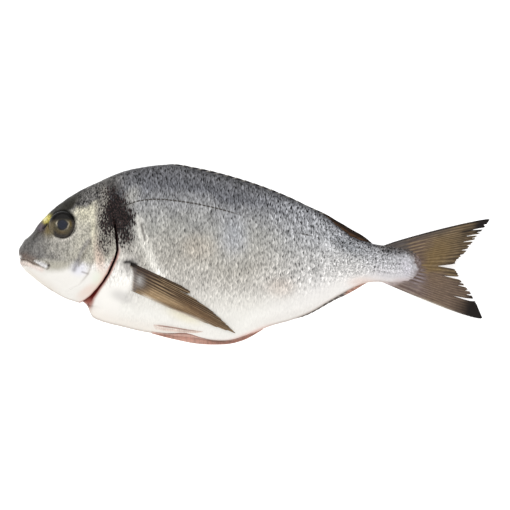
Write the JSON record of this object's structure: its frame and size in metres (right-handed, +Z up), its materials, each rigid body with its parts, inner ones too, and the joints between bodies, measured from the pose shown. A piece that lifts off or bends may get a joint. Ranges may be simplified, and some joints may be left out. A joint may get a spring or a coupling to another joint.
{
  "type": "whole raw fish",
  "caption": "Whole raw sea bream lying on its side, with a deep silver body, an open gill slit, folded fins and a forked tail, for fish counters, kitchens and tables.",
  "frame": {"origin": "on the surface that the fish lies on, under the middle of its bounding box", "axes": "+X from the snout to the tail, +Y from the belly to the back, +Z up, out of the left flank"},
  "size_m": [0.32, 0.1216, 0.0433],
  "materials": {
    "skin": "wet silver-grey scaled skin, white on the belly, brown on the fins",
    "eye": "wet and clear over a dark iris"
  },
  "bodies": {
    "root": {"fish": "skin", "eye_left": "eye", "eye_right": "eye"}
  },
  "joints": []
}
